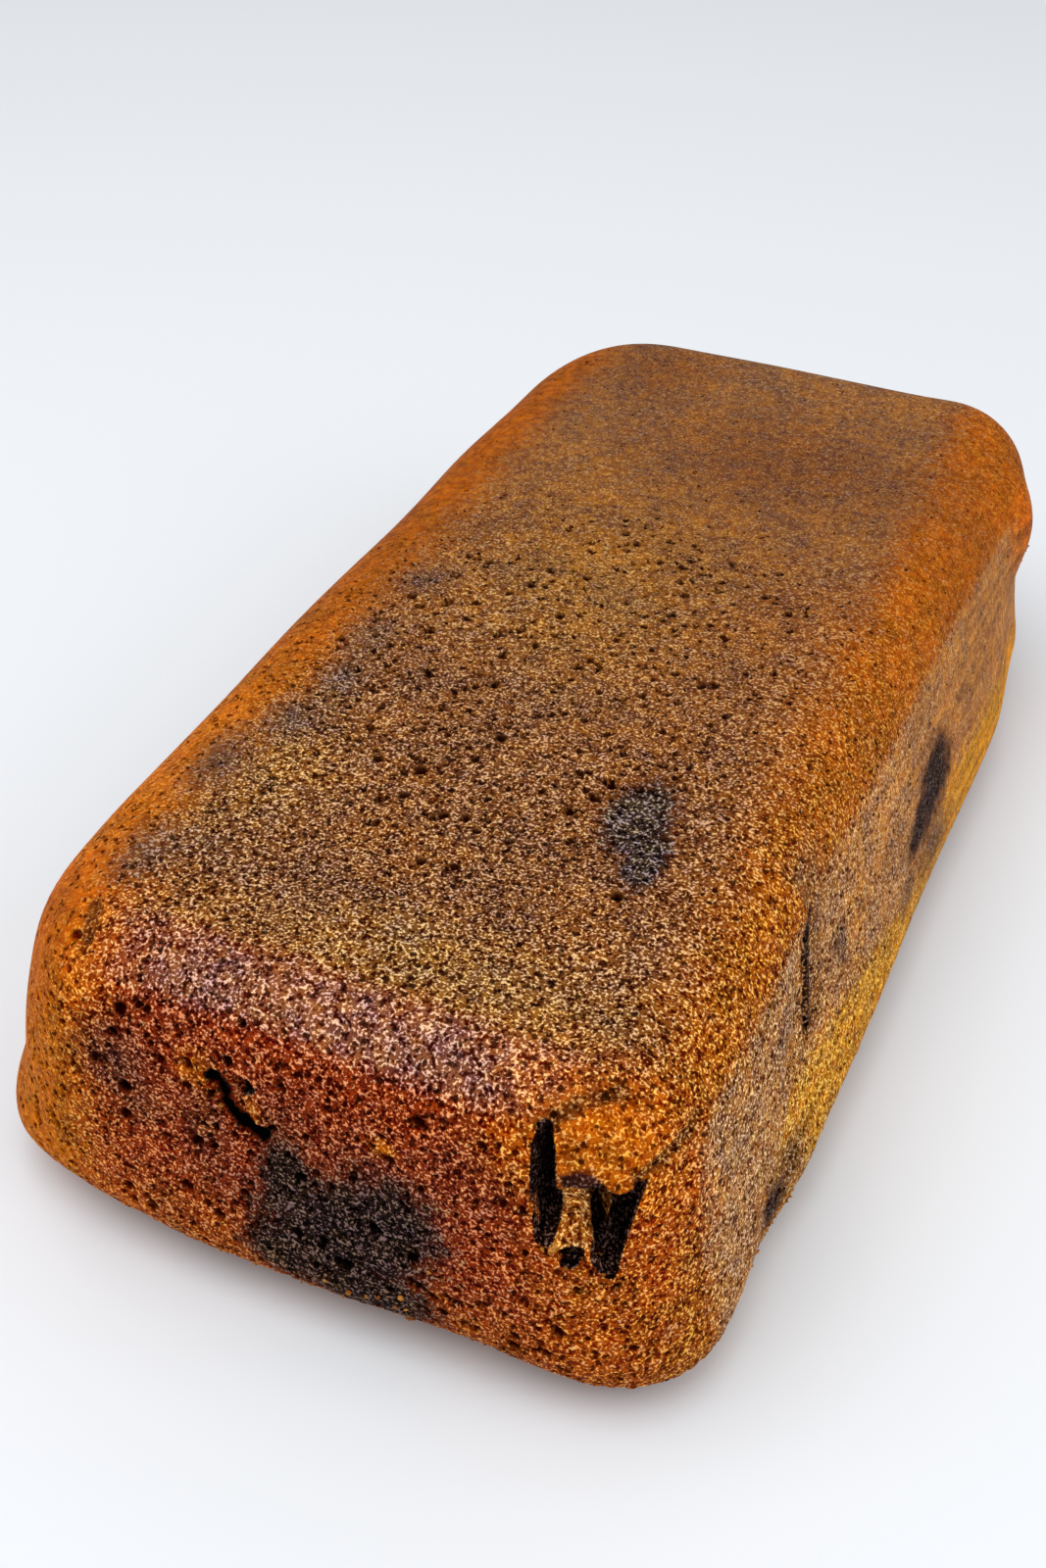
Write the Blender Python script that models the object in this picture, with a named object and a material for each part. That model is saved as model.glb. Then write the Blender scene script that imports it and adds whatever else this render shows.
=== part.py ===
"""A marble loaf cake, turned out of its loaf tin and standing upside down on its crown.

The flat top was baked against the floor of the tin, the walls against its flared sides, and the crown under
the rim rose free. The whole cake is one piece of crumb, so it is one solid. X runs across the loaf, +Y from
the near end to the far end and +Z up. The origin is on the board, under the middle of the loaf.
"""

import math

import bmesh
import bpy
from mathutils import Matrix, Vector, noise

MM = 0.001

# The loaf as it came out of a two-pound tin
LENGTH = 232 * MM  # widest, at the tin's rim
WIDTH = 125 * MM
HEIGHT = 57 * MM
SIDE_FLARE = 10.5 * MM  # how far the top is in from the rim on the long sides
END_FLARE = 5.5 * MM  # the same at the two ends
TOP_ROUND = 12 * MM  # radius where the walls meet the flat top
CROWN_HEIGHT = 12 * MM  # the risen crown under the rim, which rolls in to the board
CROWN_ROLL = {"right": 7 * MM, "left": 8 * MM, "far": 8 * MM, "near": 15 * MM}
CORNER = {"far_right": 29 * MM, "far_left": 36 * MM, "near_left": 30 * MM, "near_right": 25 * MM}

# Cells of about 5 mm
CELLS_ACROSS = 26
CELLS_ALONG = 44
CROWN_LEVELS = 4
WALL_LEVELS = 7
ROUND_LEVELS = 5

# The oven's unevenness: slow swells all over
SWELL_HEIGHT = 0.9 * MM
SWELL_LENGTH = 45 * MM

# Where the loaf stands in or out of the tin's shape: centre, reach and depth in mm, outwards positive
SWELLS = {
    "foot_tucked_in_at_far_right": ((62, 96, 12), 40, -4.0),
    "crust_flake_at_far_right": ((57, 84, 42), 13, 3.6),
    "shoulder_full_at_far_right": ((48, 102, 54), 22, 1.0),
    "shoulder_worn_at_far_left": ((-56, 78, 54), 34, -1.6),
    "shoulder_worn_at_near_left": ((-50, -98, 56), 26, -1.0),
    "wall_steep_at_near_left": ((-62, -102, 18), 14, -1.2),
    "foot_full_at_near_left": ((-58, -102, 4), 20, 2.8),
    "foot_short_at_near_left": ((-36, -115, 4), 20, -1.5),
    "foot_short_at_near_end": ((28, -116, 4), 24, -1.2),
    "foot_full_at_near_right": ((54, -104, 3), 18, 1.6),
    "wall_worn_beside_near_right": ((62, -88, 16), 26, -2.0),
    "rim_missing_at_right": ((63, -76, 10), 12, -1.4),
    "foot_bulge_at_right": ((62, -30, 14), 34, 0.6),
}

# Where the right wall lost a skin of crust to the tin: the torn edge as distances along Y and heights in mm
PEEL_EDGE = ((-79, 14), (-75, 20), (-69, 29), (-62, 37), (-57, 44), (-50, 49))
PEEL_DEPTH = 1.3 * MM
PEEL_FADE = 45 * MM  # how far along the wall the step fades out

# Tears in the crust of the near end: the place on the wall, the heading of the cut in degrees and its depth.
# Each outline is drawn on the wall, to the right of and above that place. All lengths are in mm.
TEARS = {
    "left_slot": {
        "place": (38.5, -112.5, 44.0),
        "heading": 14,
        "depth": 15,
        "outline": ((-0.5, 9), (1.2, 4), (1.6, -4), (1.5, -9), (-0.8, -8.5), (-1.7, -3), (-1.7, 4)),
    },
    "right_slot": {
        "place": (47.0, -109.5, 40.0),
        "heading": 34,
        "depth": 14,
        "outline": ((4, 5.8), (2.6, 0), (1.2, -5), (0, -9.5), (-2.2, -6.5), (-2.8, -1), (-3, 7), (0, 5.2)),
    },
    "bridge_between_slots": {
        "place": (42.4, -112.0, 41.0),
        "heading": 24,
        "depth": 2.6,
        "outline": ((2.6, 6), (2.6, -6.5), (-2.8, -6.5), (-2.8, 6)),
    },
    "hole_under_bridge": {
        "place": (42.4, -113.0, 33.6),
        "heading": 20,
        "depth": 8,
        "outline": ((2.4, 1.2), (2, -0.9), (-1, -1.6), (-2.4, -0.6), (-1.2, 1)),
    },
    "crack": {
        "place": (-8.6, -113.0, 40.5),
        "heading": 0,
        "depth": 8,
        "outline": ((-3.6, 4.6), (-0.6, 4.2), (1.6, 4.9), (0.6, 2.6), (1.2, -0.6), (4, -5.4), (2.4, -4.8),
                    (-0.9, -1.2), (-1.7, 2.4)),
    },
}
TEAR_NARROWS_TO = 0.55  # width of a tear at its bottom, as a share of its mouth
CUTTER_STANDS_OUT = 8 * MM  # how far a cutter starts outside the wall

CRUST_BROWN = (0.30, 0.10, 0.025)


def clear_scene():
    for obj in list(bpy.data.objects):
        bpy.data.objects.remove(obj)


def rim_side(length, first_corner, last_corner, share):
    """A point on one side of the rim, from the middle of one corner's arc to the middle of the next.

    Returns the distance along the side, the distance in from its line, and the turn of its outward normal.
    """
    first_arc = first_corner * math.pi / 4
    last_arc = last_corner * math.pi / 4
    straight = length - first_corner - last_corner
    run = share * (first_arc + straight + last_arc)
    if run < first_arc:
        turn = run / first_corner - math.pi / 4
        return first_corner * (1 + math.sin(turn)), first_corner * (1 - math.cos(turn)), turn
    run -= first_arc
    if run <= straight:
        return first_corner + run, 0.0, 0.0
    turn = (run - straight) / last_corner
    return length - last_corner * (1 - math.sin(turn)), last_corner * (1 - math.cos(turn)), turn


def rim_point(side, share):
    """A point of the rim in plan, and the wall's outward direction there. The sides run anticlockwise."""
    sides = {
        "near": (WIDTH, "near_left", "near_right", (-WIDTH / 2, -LENGTH / 2), 0),
        "right": (LENGTH, "near_right", "far_right", (WIDTH / 2, -LENGTH / 2), 90),
        "far": (WIDTH, "far_right", "far_left", (WIDTH / 2, LENGTH / 2), 180),
        "left": (LENGTH, "far_left", "near_left", (-WIDTH / 2, LENGTH / 2), 270),
    }
    length, first, last, start, heading = sides[side]
    along, inwards, turn = rim_side(length, CORNER[first], CORNER[last], share)
    spin = Matrix.Rotation(math.radians(heading), 2)
    return Vector(start) + spin @ Vector((along, inwards)), spin @ Vector((math.sin(turn), -math.cos(turn)))


def by_side(outward, right, left, far, near):
    """Blends four values, one for each side, by the way the wall faces."""
    across = right if outward.x > 0 else left
    along = far if outward.y > 0 else near
    return outward.x**2 * across + outward.y**2 * along


def wall_profile(outward):
    """Heights and insets from the rim, going up: the crown's roll, the flared wall, the top's rounding."""
    roll = by_side(outward, **CROWN_ROLL)
    flare = by_side(outward, SIDE_FLARE, SIDE_FLARE, END_FLARE, END_FLARE)
    wall_top = HEIGHT - TOP_ROUND

    def flare_at(height):
        return flare * (height - CROWN_HEIGHT) / (HEIGHT - CROWN_HEIGHT)

    for level in range(CROWN_LEVELS):
        turn = math.pi / 2 * level / CROWN_LEVELS
        yield CROWN_HEIGHT * (1 - math.cos(turn)), roll * (1 - math.sin(turn))
    for level in range(WALL_LEVELS):
        height = CROWN_HEIGHT + (wall_top - CROWN_HEIGHT) * level / WALL_LEVELS
        yield height, flare_at(height)
    for level in range(ROUND_LEVELS + 1):
        turn = math.pi / 2 * level / ROUND_LEVELS
        height = wall_top + TOP_ROUND * math.sin(turn)
        yield height, flare_at(height) + TOP_ROUND * (1 - math.cos(turn))


def wall_columns():
    """Columns of points up the wall, anticlockwise from the middle of the near left corner."""
    columns = []
    for side in ("near", "right", "far", "left"):
        cells = CELLS_ACROSS if side in ("near", "far") else CELLS_ALONG
        for cell in range(cells):
            rim, outward = rim_point(side, cell / cells)
            levels = wall_profile(outward)
            columns.append([Vector((*(rim - outward * inset), height)) for height, inset in levels])
    return columns


def column_beside(across, along):
    """The number of the wall column that a corner of a cell on the edge of the top's grid joins."""
    if along == 0:
        return across
    if across == CELLS_ACROSS:
        return CELLS_ACROSS + along
    if along == CELLS_ALONG:
        return 2 * CELLS_ACROSS + CELLS_ALONG - across
    return 2 * (CELLS_ACROSS + CELLS_ALONG) - along


def top_point(edge, across, along):
    """A point of the flat top, blended from its four edges as a Coons patch."""
    u = across / CELLS_ACROSS
    v = along / CELLS_ALONG
    sides = edge(across, 0) * (1 - v) + edge(across, CELLS_ALONG) * v
    sides += edge(0, along) * (1 - u) + edge(CELLS_ACROSS, along) * u
    near_corners = edge(0, 0) * (1 - u) + edge(CELLS_ACROSS, 0) * u
    far_corners = edge(0, CELLS_ALONG) * (1 - u) + edge(CELLS_ACROSS, CELLS_ALONG) * u
    return sides - near_corners * (1 - v) - far_corners * v


def tin_shape():
    """The loaf as the tin shaped it: walls in columns of quads, a grid on top and one face underneath."""
    mesh = bmesh.new()
    columns = [[mesh.verts.new(point) for point in column] for column in wall_columns()]
    for column, following in zip(columns, columns[1:] + columns[:1]):
        for level in range(len(column) - 1):
            ring = (column[level], following[level], following[level + 1], column[level + 1])
            mesh.faces.new(ring)
    mesh.faces.new([column[0] for column in reversed(columns)])

    def edge_vert(across, along):
        return columns[column_beside(across, along)][-1]

    def edge(across, along):
        return edge_vert(across, along).co

    grid = {}
    for across in range(CELLS_ACROSS + 1):
        for along in range(CELLS_ALONG + 1):
            if across in (0, CELLS_ACROSS) or along in (0, CELLS_ALONG):
                grid[across, along] = edge_vert(across, along)
            else:
                grid[across, along] = mesh.verts.new(top_point(edge, across, along))
    for across in range(CELLS_ACROSS):
        for along in range(CELLS_ALONG):
            ring = ((across, along), (across + 1, along), (across + 1, along + 1), (across, along + 1))
            mesh.faces.new([grid[place] for place in ring])
    mesh.normal_update()
    return mesh


def peel(point):
    """How deep the right wall lies below its crust: a step at the torn edge, fading out along the loaf."""
    along = point.y / MM
    height = point.z / MM
    if point.x < 0 or not PEEL_EDGE[0][1] <= height <= PEEL_EDGE[-1][1]:
        return 0.0
    for (low_y, low_z), (high_y, high_z) in zip(PEEL_EDGE, PEEL_EDGE[1:]):
        if low_z <= height <= high_z:
            past_edge = along - low_y - (high_y - low_y) * (height - low_z) / (high_z - low_z)
            break
    if past_edge < 0:
        return 0.0
    return PEEL_DEPTH * max(0.0, 1 - past_edge * MM / PEEL_FADE)


def baked_offset(point):
    """How far the oven and the turning out moved the surface from the tin's shape, outwards positive."""
    offset = SWELL_HEIGHT * noise.noise(point / SWELL_LENGTH) - peel(point)
    for centre, reach, depth in SWELLS.values():
        distance = (point - Vector(centre) * MM).length
        nearness = max(0.0, 1 - (distance / (reach * MM)) ** 2)
        offset += depth * MM * nearness**2
    return offset


def bake(mesh):
    """Moves the walls and top by the baked offset. The base stays flat, on the board."""
    moves = [vert.normal * baked_offset(vert.co) for vert in mesh.verts]
    for vert, move in zip(mesh.verts, moves):
        move.z *= min(1.0, vert.co.z / CROWN_HEIGHT)
        vert.co += move


def centre_on_origin(mesh):
    """Puts the middle of the bounding box over the origin."""
    for axis in (0, 1):
        places = [vert.co[axis] for vert in mesh.verts]
        middle = (min(places) + max(places)) / 2
        for vert in mesh.verts:
            vert.co[axis] -= middle


def new_object(name, mesh):
    data = bpy.data.meshes.new(name)
    bmesh.ops.recalc_face_normals(mesh, faces=mesh.faces)
    mesh.to_mesh(data)
    mesh.free()
    obj = bpy.data.objects.new(name, data)
    bpy.context.scene.collection.objects.link(obj)
    return obj


def browned_crust():
    material = bpy.data.materials.new("browned_crust")
    material.use_nodes = True
    shader = material.node_tree.nodes["Principled BSDF"]
    shader.inputs["Base Color"].default_value = (*CRUST_BROWN, 1)
    shader.inputs["Roughness"].default_value = 0.5
    shader.inputs["Metallic"].default_value = 0.0
    return material


def tear_cutter(name, tear):
    """A prism that narrows inwards: the outline of one tear, driven into the wall along its heading."""
    mesh = bmesh.new()
    rings = []
    for inwards, width in ((-CUTTER_STANDS_OUT, 1.0), (0.0, 1.0), (tear["depth"] * MM, TEAR_NARROWS_TO)):
        ring = [mesh.verts.new((x * MM * width, inwards, z * MM * width)) for x, z in tear["outline"]]
        rings.append(ring)
    for outer, inner in zip(rings, rings[1:]):
        for i in range(len(outer)):
            j = (i + 1) % len(outer)
            mesh.faces.new((outer[i], outer[j], inner[j], inner[i]))
    mesh.faces.new(rings[0])
    mesh.faces.new(rings[-1])
    cutter = new_object("cutter_" + name, mesh)
    cutter.location = Vector(tear["place"]) * MM
    cutter.rotation_euler.z = math.radians(tear["heading"])
    cutter.hide_render = True
    cutter.display_type = "WIRE"
    return cutter


def make_loaf():
    mesh = tin_shape()
    bake(mesh)
    centre_on_origin(mesh)
    loaf = new_object("loaf", mesh)
    loaf.data.shade_smooth()
    loaf.data.materials.append(browned_crust())
    for name, tear in TEARS.items():
        cut = loaf.modifiers.new(name, "BOOLEAN")
        cut.operation = "DIFFERENCE"
        cut.object = tear_cutter(name, tear)


clear_scene()
make_loaf()
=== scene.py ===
import math

import bmesh
import bpy
import numpy as np
from mathutils import Matrix, Vector
from mathutils.bvhtree import BVHTree


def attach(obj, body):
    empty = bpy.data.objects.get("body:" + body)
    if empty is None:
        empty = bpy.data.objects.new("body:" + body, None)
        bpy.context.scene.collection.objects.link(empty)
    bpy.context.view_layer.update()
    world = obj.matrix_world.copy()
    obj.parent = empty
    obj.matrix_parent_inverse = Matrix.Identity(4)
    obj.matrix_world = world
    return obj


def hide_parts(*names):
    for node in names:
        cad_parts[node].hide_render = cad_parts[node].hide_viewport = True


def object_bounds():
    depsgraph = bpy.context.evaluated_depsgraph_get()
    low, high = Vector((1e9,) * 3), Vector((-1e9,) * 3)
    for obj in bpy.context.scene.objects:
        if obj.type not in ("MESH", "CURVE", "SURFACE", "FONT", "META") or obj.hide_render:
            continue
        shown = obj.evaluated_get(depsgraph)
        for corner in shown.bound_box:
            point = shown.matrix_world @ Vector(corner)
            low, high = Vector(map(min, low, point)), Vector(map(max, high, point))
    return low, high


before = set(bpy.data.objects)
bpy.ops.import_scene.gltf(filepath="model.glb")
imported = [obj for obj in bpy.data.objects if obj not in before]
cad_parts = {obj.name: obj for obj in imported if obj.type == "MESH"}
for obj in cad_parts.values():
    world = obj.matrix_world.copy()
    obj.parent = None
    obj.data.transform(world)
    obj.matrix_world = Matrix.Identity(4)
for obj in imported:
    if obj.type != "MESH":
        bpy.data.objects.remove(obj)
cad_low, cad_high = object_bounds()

# ---------------------------------------------------------------------------------------------------------
# The loaf. A block of butter sponge that was baked in a loaf tin and turned out upside down. Its faces took
# the shape of the tin, and its crust is a thin, tight skin over open pores.
# ---------------------------------------------------------------------------------------------------------

MM = 0.001
CRUMB_CELL = 0.55 * MM  # size of the cells that the loaf's surface is rebuilt from
SHARP_EDGE = math.radians(32)  # the CAD's facets meet at less, its cuts at more
LOAF_TRIANGLES = 196000


def copy_of_node(name):
    """The CAD node's mesh with its loose triangles joined, and its cuts and its foot marked as sharp."""
    solid = bmesh.new()
    solid.from_mesh(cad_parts[name].data)
    bmesh.ops.remove_doubles(solid, verts=solid.verts, dist=0.001 * MM)
    bmesh.ops.join_triangles(solid, faces=solid.faces, angle_face_threshold=SHARP_EDGE,
                             angle_shape_threshold=SHARP_EDGE)
    crease = solid.edges.layers.float.new("crease_edge")
    for edge in solid.edges:
        at_foot = sum(vert.co.z < 0.01 * MM for vert in edge.verts) == 2
        if at_foot or edge.calc_face_angle(0.0) > SHARP_EDGE:
            edge[crease] = 1.0
    mesh = bpy.data.meshes.new("loaf_rounded")
    solid.to_mesh(mesh)
    solid.free()
    obj = bpy.data.objects.new("loaf_rounded", mesh)
    bpy.context.scene.collection.objects.link(obj)
    return obj


def applied(obj, name):
    """A plain mesh object of what the modifiers make of obj, which is removed."""
    depsgraph = bpy.context.evaluated_depsgraph_get()
    mesh = bpy.data.meshes.new_from_object(obj.evaluated_get(depsgraph))
    mesh.name = name
    bpy.data.objects.remove(obj)
    made = bpy.data.objects.new(name, mesh)
    bpy.context.scene.collection.objects.link(made)
    return made


def places_mm(mesh):
    places = np.empty(len(mesh.vertices) * 3, dtype=np.float32)
    mesh.vertices.foreach_get("co", places)
    return places.reshape(-1, 3).astype(float) / MM


def skin_places_mm(mesh):
    """Where each vertex lay before the skin was wrinkled and its pores opened."""
    places = np.empty(len(mesh.vertices) * 3, dtype=np.float32)
    mesh.attributes["skin_place"].data.foreach_get("vector", places)
    return places.reshape(-1, 3).astype(float) / MM


def set_places_mm(mesh, places):
    mesh.vertices.foreach_set("co", (places * MM).astype(np.float32).ravel())
    mesh.update()


def outward_normals(mesh):
    normals = np.empty(len(mesh.vertices) * 3, dtype=np.float32)
    mesh.vertices.foreach_get("normal", normals)
    return normals.reshape(-1, 3).astype(float)


def store(mesh, name, values):
    """Keeps one number for each vertex, for the material or for a modifier to read."""
    attribute = mesh.attributes.get(name) or mesh.attributes.new(name, "FLOAT", "POINT")
    attribute.data.foreach_set("value", np.asarray(values, dtype=np.float32))


def smoothstep(low, high, values):
    t = np.clip((values - low) / (high - low), 0, 1)
    return t * t * (3 - 2 * t)


def distance_to_path(places, path, limit=4.0):
    """Distance from each place to the nearest point of a line through the path's points, up to a limit."""
    distance = np.full(len(places), limit)
    points = np.array(path, dtype=float)
    near = np.all((places > points.min(axis=0) - limit) & (places < points.max(axis=0) + limit), axis=1)
    local = places[near]
    nearest = distance[near]
    for start, end in zip(points, points[1:]):
        along = np.clip((local - start) @ (end - start) / ((end - start) @ (end - start) + 1e-9), 0, 1)
        nearest = np.minimum(nearest, np.linalg.norm(local - start - along[:, None] * (end - start), axis=1))
    distance[near] = nearest
    return distance


def inside_blob(places, centre, radii):
    """1 at the blob's centre, 0 at its edge and -1 well outside."""
    reach = np.linalg.norm((places - np.array(centre)) / np.array(radii), axis=1)
    return np.clip(1 - reach, -1, 1)


def on_skin(places, path, step=1.5):
    """A line through the path's points that keeps to the skin: a point every step mm, each on the skin."""
    points = np.array(path, dtype=float)
    line = [points[0]]
    for start, end in zip(points, points[1:]):
        count = max(1, round(np.linalg.norm(end - start) / step))
        line += [start + (end - start) * (i + 1) / count for i in range(count)]
    return [places[np.argmin(np.linalg.norm(places - point, axis=1))] for point in line]


def ripple(places):
    """An uneven ripple of -1 to 1 over one to three millimetres, for ragged edges."""
    x, y, z = places.T
    return (np.sin(2.1 * x + 1.7 * z + 0.6 * np.sin(1.3 * y)) + np.sin(2.9 * y - 2.3 * z + 1.1)
            + np.sin(3.7 * z + 2.6 * x - 1.9 * y + 2.4)) / 3


def inside_outline(places, outline):
    """How far inside an outline on the near wall a place lies, in mm, seen along Y. Outside it is negative."""
    spots = places[:, [0, 2]]
    corners = np.array(outline, dtype=float)
    distance = np.full(len(spots), 1e9)
    inside = np.zeros(len(spots), dtype=bool)
    for start, end in zip(corners, np.roll(corners, -1, axis=0)):
        edge = end - start
        along = np.clip((spots - start) @ edge / (edge @ edge), 0, 1)
        distance = np.minimum(distance, np.linalg.norm(spots - start - along[:, None] * edge, axis=1))
        crosses = (start[1] > spots[:, 1]) != (end[1] > spots[:, 1])
        at = start[0] + (spots[:, 1] - start[1]) * edge[0] / (edge[1] if edge[1] else 1e-9)
        inside ^= crosses & (spots[:, 0] < at)
    return np.where(inside, distance, -distance)


# The two slots in the near end, and what lies between them: outlines on the wall in mm, across and up
SLOTS = {
    "left": ((36.2, 52.7), (35.8, 50.3), (36.3, 46.3), (37.2, 40.0), (37.8, 35.6), (39.5, 35.2), (39.9, 41.6),
             (39.2, 48.4), (37.7, 52.0)),
    "right": ((44.3, 46.9), (45.3, 46.8), (46.5, 45.3), (47.8, 44.8), (49.9, 45.6), (49.3, 41.6), (48.6, 36.0),
              (48.0, 30.4), (46.4, 31.9), (45.4, 34.0), (44.6, 39.8)),
    "under_bridge": ((41.0, 33.2), (41.9, 34.6), (43.6, 34.0), (43.2, 32.4), (41.8, 31.9)),
}
SLOTS_REACH_TO = -101.5  # Y of the slots' floors, in mm
# Painted shadow under the flap's lip, between the slots: an outline on the wall in mm, across and up
SHADOW_UNDER_LIP = ((40.0, 47.6), (42.3, 48.7), (45.0, 47.9), (44.4, 45.6), (42.3, 44.2), (40.7, 44.7))
BRIDGE = ((39.4, 45.0), (44.4, 45.6), (45.2, 34.8), (39.8, 33.8))

# Folds and wrinkles in the skin: the line each follows, how far it reaches and how high it stands, in mm
SKIN_LINES = {
    "flap_lip": ([(40.4, -111.7, 48.2), (44.1, -110.7, 48.0), (46.3, -110.2, 46.2), (47.9, -109.0, 45.9),
                  (49.9, -107.4, 46.8)], 1.0, 0.7),
    "pored_crease": ([(49.6, -107.0, 46.6), (51.6, -103.2, 47.7), (52.8, -99.2, 48.0), (53.2, -95.0, 48.6)],
                     1.2, -0.5),
    "ridge_over_crease": ([(47.6, -107.6, 48.4), (50.4, -102.8, 50.0), (51.4, -98.0, 50.6)], 2.2, 0.5),
    "upright_wrinkle": ([(53.8, -93.4, 47.6), (54.3, -96.7, 44.9), (54.8, -98.9, 41.5), (55.3, -100.5, 37.4)],
                        0.8, 0.6),
    "fold_above_slot": ([(36.4, -108.9, 52.6), (38.4, -106.8, 54.4), (40.8, -104.6, 55.5),
                         (44.7, -100.7, 56.0)], 1.3, -0.65),
    "swell_above_fold": ([(35.0, -107.0, 54.0), (38.6, -103.2, 56.2), (43.0, -99.0, 56.8)], 2.6, 0.35),
    "torn_skin_edge": ([(53.5, -49.4, 47.6), (54.2, -53.2, 45.1), (54.8, -54.6, 42.3), (56.1, -56.1, 36.2),
                        (57.6, -58.5, 29.3), (58.3, -65.9, 27.5), (59.0, -70.0, 23.3), (59.7, -74.7, 20.0),
                        (60.1, -76.2, 14.1)], 1.2, 0.4),
    "gap_under_torn_edge": ([(54.2, -51.4, 45.1), (54.8, -52.8, 42.3), (56.1, -54.3, 36.2),
                             (57.6, -56.7, 29.3)], 1.5, -0.9),
    "near_left_split": ([(-39.0, -99.6, 56.5), (-38.0, -102.2, 56.0), (-36.9, -105.0, 54.9)], 1.5, -0.75),
    "crack": ([(-12.6, -112.5, 43.4), (-11.2, -112.8, 42.8), (-10.2, -112.9, 41.2), (-9.2, -113.1, 39.2),
               (-7.9, -113.3, 37.4), (-6.2, -113.4, 36.5), (-4.8, -113.6, 35.5)], 1.9, -1.4),
    "flake": ([(13.5, -112.9, 42.1), (15.3, -112.9, 41.4)], 0.8, 0.9),
    "crack_branch": ([(-10.6, -112.8, 42.8), (-8.8, -112.6, 43.6), (-7.2, -112.5, 44.0)], 1.3, -1.1),
}

# Holes bigger than a pore: centre, radius and depth in mm
HOLES = [
    ((-27.7, -111.0, 49.2), 1.3, 1.3),
    ((-29.0, -112.1, 45.0), 1.0, 1.2),
    ((-27.3, -113.8, 35.5), 1.3, 1.6),
    ((-27.1, -114.3, 30.7), 1.2, 1.4),
    ((-14.9, -114.2, 30.6), 1.2, 0.9),
    ((12.7, -112.9, 41.4), 0.9, 1.4),
    ((-9.0, -53.5, 56.9), 1.2, 1.3),
    ((-0.6, -41.0, 56.9), 1.1, 1.2),
    ((-8.6, -60.0, 56.9), 1.0, 1.1),
    ((-0.9, -61.9, 56.9), 1.0, 1.1),
    ((2.6, -60.7, 56.9), 1.0, 1.2),
    ((0.7, -73.1, 56.9), 0.9, 1.1),
    ((30.0, -68.0, 56.9), 1.1, 1.2),
    ((-37.8, -103.0, 50.8), 1.0, 0.9),
]
GAP_SHADE = 0.8  # share of a gap's reach that lies in shade
PORE_SCALE = 2.5  # mm from a hole's edge at which "pore" ends
CRACK_SHADE = 1.3  # mm to either side of the crack's line that lie in full shade
RAGGED = 0.3  # mm that a hole's or a gap's edge strays from its line

FLAP_CENTRE = (45.0, -106.5, 51.5)  # the tongue of skin over the two slots, puffed out
FLAP_RADII = (8.0, 8.0, 7.0)
FLAP_PUFF = 0.9  # mm
FOOT_RAGGED = 0.6  # mm that the crust under the rim stands in and out
FOOT_HEIGHT = 13.0  # mm


def wrinkle_skin(loaf):
    """Moves the skin along its normals: folds, torn edges, single holes and a ragged foot."""
    places = places_mm(loaf.data)
    rough = RAGGED * ripple(places)
    raised = np.zeros(len(places))
    sunk = np.zeros(len(places))
    inside = np.full(len(places), -1.0)
    crease = np.full(len(places), -1.0)
    for path, reach, height in SKIN_LINES.values():
        distance = distance_to_path(places, on_skin(places, path))
        if height > 0:
            raised += height * np.exp(-(distance / reach) ** 2)
        else:
            sunk = np.maximum(sunk, -height * smoothstep(reach, reach * 0.4, distance + rough))
            shade = (reach * GAP_SHADE - distance - rough) / PORE_SCALE
            if height < -1:
                inside = np.maximum(inside, shade)
            else:
                crease = np.maximum(crease, shade)
    for centre, radius, depth in HOLES:
        distance = np.linalg.norm(places - on_skin(places, [centre])[0], axis=1) + rough
        sunk = np.maximum(sunk, depth * smoothstep(radius, radius * 0.35, distance))
        inside = np.maximum(inside, (radius - distance) / PORE_SCALE)
    raised += FLAP_PUFF * smoothstep(0.0, 0.9, inside_blob(places, FLAP_CENTRE, FLAP_RADII))
    # Where the material paints shade: "pore" inside holes and the crack, "crease" along shallower creases and gaps,
    # "crack" round the crack
    store(loaf.data, "pore", inside)
    store(loaf.data, "crease", crease)
    crack = np.minimum(distance_to_path(places, on_skin(places, SKIN_LINES["crack"][0])),
                       distance_to_path(places, on_skin(places, SKIN_LINES["crack_branch"][0])))
    store(loaf.data, "crack", (CRACK_SHADE - crack - 2.5 * rough) / PORE_SCALE)
    lumps = ripple(places / 2.2) * ripple(places / 5.3 + 2.0) + 0.6 * ripple(places)
    sunk += FOOT_RAGGED * np.clip(1 + lumps, 0, 2) * smoothstep(FOOT_HEIGHT, 1.0, places[:, 2])
    set_places_mm(loaf.data, places + outward_normals(loaf.data) * (raised - sunk)[:, None])


def depth_in_slots(places):
    """How deep each place lies under the loaf's outer hull, in mm, but only in and round the two slots."""
    hull = bmesh.new()
    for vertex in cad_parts["loaf"].data.vertices:
        hull.verts.new(vertex.co)
    bmesh.ops.convex_hull(hull, input=hull.verts)
    tree = BVHTree.FromBMesh(hull)
    hull.free()
    depth = np.zeros(len(places))
    for i in np.flatnonzero(np.linalg.norm(places - np.array((43, -110, 43)), axis=1) < 20):
        depth[i] = tree.find_nearest(Vector(places[i] * MM))[3] / MM
    return depth


def add_node(tree, kind, inputs, output=0, **settings):
    """Adds a node, sets or links its inputs, and returns one of its outputs."""
    made = tree.nodes.new(kind)
    for name, value in settings.items():
        setattr(made, name, value)
    for socket, value in inputs.items():
        if isinstance(value, bpy.types.NodeSocket):
            tree.links.new(value, made.inputs[socket])
        else:
            made.inputs[socket].default_value = value
    return made.outputs[output]
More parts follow.
